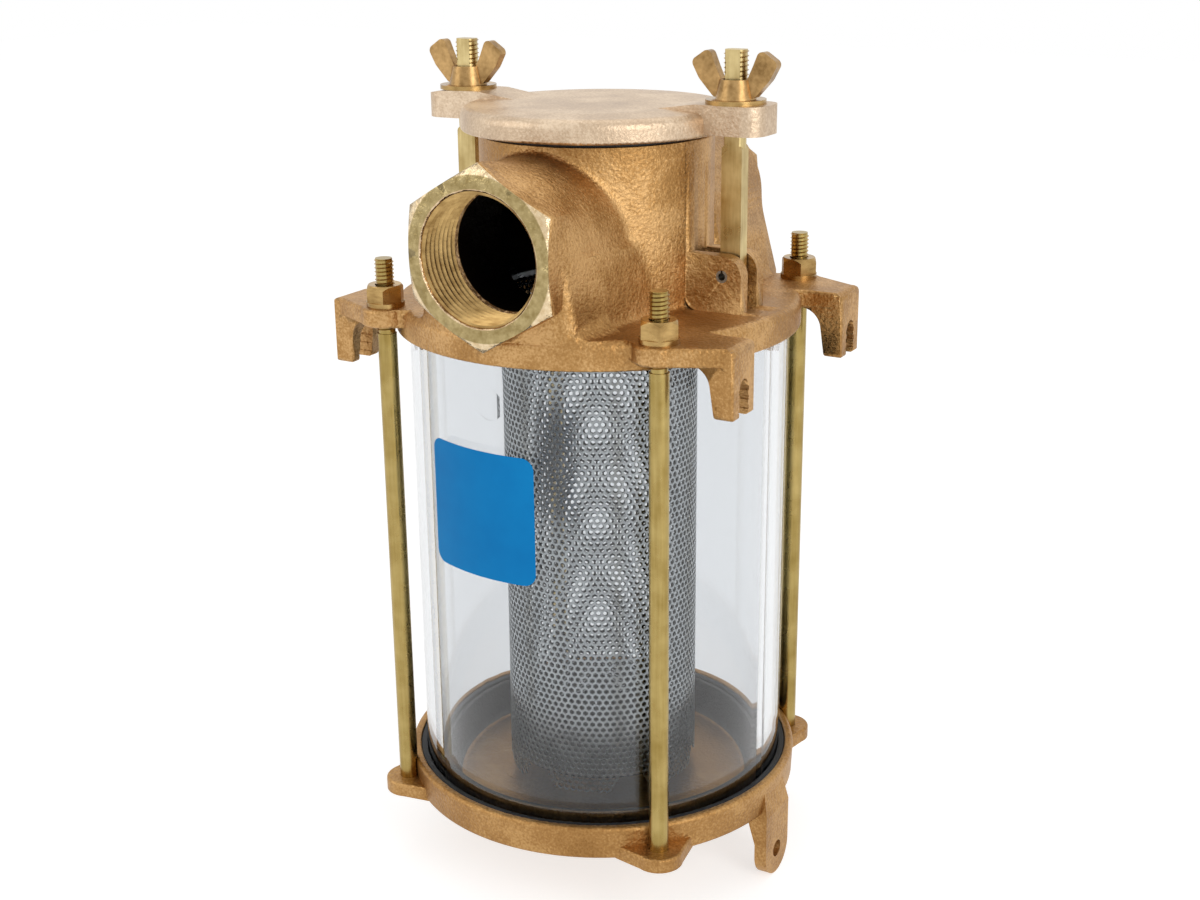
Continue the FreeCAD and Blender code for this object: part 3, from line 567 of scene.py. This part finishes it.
first = hexagon_cell("basket_sheet", 0, 0)
second = hexagon_cell("basket_sheet_stagger", pitch / 2, row_height)
only(first)
second.select_set(True)
bpy.ops.object.join()
for count, offset in ((holes_round, (pitch, 0, 0)), (row_pairs, (0, 2 * row_height, 0))):
    array = first.modifiers.new("repeat", "ARRAY")
    array.count = count
    array.use_relative_offset = False
    array.use_constant_offset = True
    array.constant_offset_displace = offset
apply_all(first)
print("holes in the sheet:", 2 * holes_round * row_pairs)

# %% [markdown]
# The lower edge of the sheet has six shallow notches, so that water can pass
# under it when it touches the floor of the pan. The cells that fall in a notch
# are deleted while the sheet is flat, which leaves the scalloped edge that a
# cut through punched sheet has. Rolling is then one line of arithmetic on each
# point: the distance along the sheet becomes an angle.

# %% Notch and roll the sheet
tab_count = 6
notch_share = 22.0 / 60.0
tab_direction = math.radians(-72.5)
notch_height = 4.2 * MM
circumference = 2 * math.pi * basket_radius


def in_notch(x, y):
    turn = (x / circumference * 2 * math.pi - tab_direction) / (2 * math.pi / tab_count)
    from_middle = abs((turn % 1.0) - 0.5)
    narrowing = 1.0 - 0.35 * y / notch_height
    return y < notch_height and from_middle < 0.5 * notch_share * narrowing


edit(first)
sheet = bmesh.from_edit_mesh(first.data)
for face in sheet.faces:
    centre = face.calc_center_median()
    face.select_set(in_notch(centre.x, centre.y))
bmesh.update_edit_mesh(first.data)
bpy.ops.mesh.delete(type="FACE")
bpy.ops.mesh.select_all(action="SELECT")
bpy.ops.mesh.remove_doubles(threshold=0.05 * MM)
done()
for vertex in first.data.vertices:
    angle = vertex.co.x / basket_radius
    height = basket_low[2] + vertex.co.y + pitch / math.sqrt(3)
    vertex.co = (basket_radius * math.cos(angle), basket_radius * math.sin(angle), height)
edit(first)
bpy.ops.mesh.select_all(action="SELECT")
bpy.ops.mesh.remove_doubles(threshold=0.05 * MM)
bpy.ops.mesh.normals_make_consistent(inside=False)
done()
print("sheet vertices:", len(first.data.vertices))

# %% [markdown]
# A tube with this many holes is heavy, so it is kept as two pieces, one above
# the other, each well under the limit for one piece. A copy is bisected at
# half height, once for each side, and then each half gets its thickness.

# %% Split the basket and give it thickness
def half_basket(source, name, keep_upper):
    only(source)
    bpy.ops.object.duplicate()
    half = named(name)
    middle = (basket_low[2] + basket_high[2]) / 2
    edit(half)
    bpy.ops.mesh.select_all(action="SELECT")
    bpy.ops.mesh.bisect(plane_co=(0, 0, middle), plane_no=(0, 0, 1),
                        clear_inner=keep_upper, clear_outer=not keep_upper)
    done()
    wall = half.modifiers.new("thickness", "SOLIDIFY")
    wall.thickness = sheet_thickness
    wall.offset = -1.0
    apply_all(half)
    half.data.materials.clear()
    half.data.materials.append(basket_steel)
    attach(half, "strainer")
    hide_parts("basket_tube")
    return half


basket_lower = half_basket(first, "basket_lower_sheet", False)
basket_upper = half_basket(first, "basket_upper_sheet", True)
only(first)
bpy.ops.object.delete()
print("basket triangles:", sum(len(h.data.polygons) * 2 for h in (basket_lower, basket_upper)))

# %% [markdown]
# ## Threads
#
# The rods and bolts have inch threads, one in quarter inch by 20 to the inch
# and one in five sixteenths by 18, and the ports have a pipe thread of 11.5 to
# the inch. A thread is a triangle swept along a helix. The Screw modifier does
# this: it turns an outline round an axis and lifts it by the pitch each turn.
# A three-cornered circle is the triangle, and its angle of 60 degrees is right
# for all three threads.

# %% A thread along Z
INCH = 25.4 * MM
ROD_LEAD = INCH / 20
BOLT_LEAD = INCH / 18
PORT_LEAD = INCH / 11.5
ROD_CREST = 3.175 * MM
BOLT_CREST = 3.95 * MM
PORT_CREST = 19.45 * MM
END_GAP = 0.3 * MM
STUD_BELOW_NUT = 9.5 * MM
THREAD_BELOW_COVER = 9.0 * MM


def thread(name, crest, lead, bottom, top, inward=False, steps=32):
    """Helical ridge with its crest at the given radius."""
    side = 0.92 * lead
    reach = side / math.sqrt(3)
    middle = crest + reach if inward else crest - reach
    turns = int(round((top - bottom) / lead)) + 1
    turn = (math.pi / 2, -math.pi / 2 if inward else math.pi / 2, 0)
    bpy.ops.mesh.primitive_circle_add(vertices=3, radius=reach, rotation=turn,
                                      location=(middle, 0, bottom - lead / 2))
    ridge = named(name)
    settle(ridge)
    screw = ridge.modifiers.new("helix", "SCREW")
    screw.axis = "Z"
    screw.steps = steps
    screw.render_steps = steps
    screw.iterations = turns
    screw.screw_offset = lead
    screw.use_merge_vertices = True
    apply_all(ridge)
    return ridge


def trim(obj, point, normal):
    """Cut the piece at a plane and keep the side that the normal points away from."""
    edit(obj)
    bpy.ops.mesh.select_all(action="SELECT")
    bpy.ops.mesh.bisect(plane_co=point, plane_no=normal, clear_outer=True, use_fill=True)
    done()


def tidy(obj):
    """Close the ends and point the faces outwards."""
    edit(obj)
    bpy.ops.mesh.select_all(action="SELECT")
    bpy.ops.mesh.remove_doubles(threshold=0.002 * MM)
    bpy.ops.mesh.fill_holes(sides=0)
    bpy.ops.mesh.select_all(action="SELECT")
    bpy.ops.mesh.normals_make_consistent(inside=False)
    done()
    only(obj)
    bpy.ops.object.shade_smooth_by_angle(angle=math.radians(30))


# %% [markdown]
# The stud of one rod is threaded from its shoulder to its top. The ridge is
# cut flat at both ends. The other three are copies with meshes of their own,
# moved to their rods.

# %% Threads on the tie rods
rod_boxes = [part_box("tie_rod_%d" % number) for number in (1, 2, 3, 4)]
nut_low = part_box("hex_nut_1")[0]
stud_top = rod_boxes[0][1][2]
stud_bottom = nut_low[2] - STUD_BELOW_NUT
for number, (low, high) in enumerate(rod_boxes, start=1):
    ridge = thread("rod_thread_%d" % number, ROD_CREST, ROD_LEAD, stud_bottom, stud_top, steps=28)
    trim(ridge, (0, 0, stud_top - END_GAP), (0, 0, 1))
    trim(ridge, (0, 0, stud_bottom), (0, 0, -1))
    ridge.location = ((low[0] + high[0]) / 2, (low[1] + high[1]) / 2, 0)
    settle(ridge)
    tidy(ridge)
    ridge.data.materials.append(turned_brass)
    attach(ridge, "strainer")
print("stud thread from", round(stud_bottom / MM, 1), "to", round(stud_top / MM, 1), "mm")

# %% [markdown]
# The swing bolts are flat bars with a threaded end, and the thread is cut away
# where the bar is thinner than the thread. The ridge is therefore trimmed at
# both faces of the bar as well. The left thread rides with the left bolt,
# which swings. The right bolt stays in the closed eye of the cover.

# %% Threads on the swing bolts
for side, body in (("left", "left_bolt"), ("right", "strainer")):
    low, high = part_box("swing_bolt_" + side)
    cover_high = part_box("cover")[1][2]
    bottom = cover_high - THREAD_BELOW_COVER
    ridge = thread("bolt_thread_" + side, BOLT_CREST, BOLT_LEAD, bottom, high[2], steps=32)
    trim(ridge, (0, 0, high[2] - END_GAP), (0, 0, 1))
    trim(ridge, (0, 0, bottom), (0, 0, -1))
    trim(ridge, (0, high[1], 0), (0, 1, 0))
    trim(ridge, (0, low[1], 0), (0, -1, 0))
    ridge.location = ((low[0] + high[0]) / 2, 0, 0)
    settle(ridge)
    tidy(ridge)
    ridge.data.materials.append(turned_brass)
    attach(ridge, body)

# %% [markdown]
# The ports are threaded inside, so the triangle points inwards. The ridge is
# made along Z, then laid along Y and copied to the outlet by turning it half
# round about the vertical axis.

# %% Threads in the ports
port_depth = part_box("strainer_body")[1][1]
for name, turn in (("inlet_thread", 0.0), ("outlet_thread", math.pi)):
    ridge = thread(name, PORT_CREST, PORT_LEAD, 1.0 * MM, 17.5 * MM, inward=True, steps=64)
    trim(ridge, (0, 0, 17.6 * MM), (0, 0, 1))
    trim(ridge, (0, 0, 0.7 * MM), (0, 0, -1))
    ridge.rotation_euler = (-math.pi / 2, 0, 0)
    ridge.location = (0, -port_depth, PORT_HEIGHT)
    settle(ridge)
    ridge.rotation_euler = (0, 0, turn)
    settle(ridge)
    tidy(ridge)
    ridge.data.materials.append(turned_brass)
    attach(ridge, "strainer")
print("port threads at height", round(PORT_HEIGHT / MM, 1), "mm")

# %% [markdown]
# ## Studio
#
# A catalogue picture is lit by large soft boxes in a white room. The floor and
# the room are white to the camera, and to rays that metal and plastic send, so
# that gloss shows a white room. They light the piece only at a plain level, and
# three soft boxes give it shape.

# %% Floor, room and lamps
ROOM_LIGHT = 0.55
FLOOR_GLOW = 0.66


def seen_white(tree):
    """1 for rays from the camera, through clear things or off gloss."""
    path = add(tree, "ShaderNodeLightPath")
    seen = maths(tree, "MAXIMUM", path.outputs["Is Camera Ray"], path.outputs["Is Transmission Ray"])
    return maths(tree, "MAXIMUM", seen, path.outputs["Is Glossy Ray"])


world = bpy.data.worlds.new("white_room")
bpy.context.scene.world = world
world.use_nodes = True
tree = world.node_tree
tree.nodes.clear()
seen = seen_white(tree)
room_light = add(tree, "ShaderNodeBackground", Color=linear("#FFFFFF"), Strength=ROOM_LIGHT)
room_seen = add(tree, "ShaderNodeBackground", Color=linear("#FFFFFF"), Strength=1.0)
mix = add(tree, "ShaderNodeMixShader", _0=seen, _1=room_light.outputs[0], _2=room_seen.outputs[0])
add(tree, "ShaderNodeOutputWorld", Surface=mix.outputs[0])

bpy.ops.object.select_all(action="DESELECT")
bpy.ops.mesh.primitive_plane_add(size=6.0, location=(0, 0, -0.2 * MM))
floor = named("studio_floor")
floor_material = bpy.data.materials.new("white_floor")
floor_material.use_nodes = True
tree = floor_material.node_tree
tree.nodes.clear()
matt = add(tree, "ShaderNodeBsdfDiffuse", Color=linear("#CFCFCF"))
glow = add(tree, "ShaderNodeEmission", Color=linear("#FFFFFF"), Strength=FLOOR_GLOW)
both = add(tree, "ShaderNodeAddShader", _0=matt.outputs[0], _1=glow.outputs[0])
seen = seen_white(tree)
mix = add(tree, "ShaderNodeMixShader", _0=seen, _1=matt.outputs[0], _2=both.outputs[0])
add(tree, "ShaderNodeOutputMaterial", Surface=mix.outputs[0])
floor.data.materials.append(floor_material)


def soft_box(name, location, target, width, height, power):
    """Rectangular area lamp aimed at a point."""
    aim = (Vector(target) - Vector(location)).to_track_quat("-Z", "Y").to_euler()
    bpy.ops.object.light_add(type="AREA", location=location, rotation=aim)
    lamp = bpy.context.object
    lamp.name = name
    lamp.data.shape = "RECTANGLE"
    lamp.data.size = width
    lamp.data.size_y = height
    lamp.data.energy = power


LAMP_TARGET = (0, 0, 0.16)
soft_box("soft_box_left", (-0.75, -0.75, 0.75), LAMP_TARGET, 0.7, 0.9, 2.2)
soft_box("soft_box_right", (0.95, -0.45, 0.55), LAMP_TARGET, 0.5, 0.9, 4.0)
soft_box("soft_box_top", (0.0, 0.3, 1.1), LAMP_TARGET, 0.9, 0.9, 1.2)

# %% [markdown]
# ## Camera
#
# The camera stands a little above the piece, to the right of the inlet, close
# enough for the strong perspective that makes the lower end look smaller. Its
# turn is three rotations: about the vertical, then the downward pitch, then a
# slight roll.

# %% Camera
CAMERA_PLACE = (283.5 * MM, -481.3 * MM, 329.0 * MM)
CAMERA_TURN = 30.5
CAMERA_PITCH = 18.25
CAMERA_ROLL = -0.6

bpy.ops.object.camera_add(location=CAMERA_PLACE)
camera = bpy.context.object
camera.name = "camera"
turn = Matrix.Rotation(math.radians(CAMERA_TURN), 4, "Z")
pitch_down = Matrix.Rotation(math.radians(90.0 - CAMERA_PITCH), 4, "X")
roll = Matrix.Rotation(math.radians(CAMERA_ROLL), 4, "Z")
camera.rotation_euler = (turn @ pitch_down @ roll).to_euler()
camera.data.lens = 51.07
camera.data.sensor_width = 36.0
camera.data.clip_start = 0.01
scene = bpy.context.scene
scene.camera = camera
scene.view_settings.view_transform = "Standard"
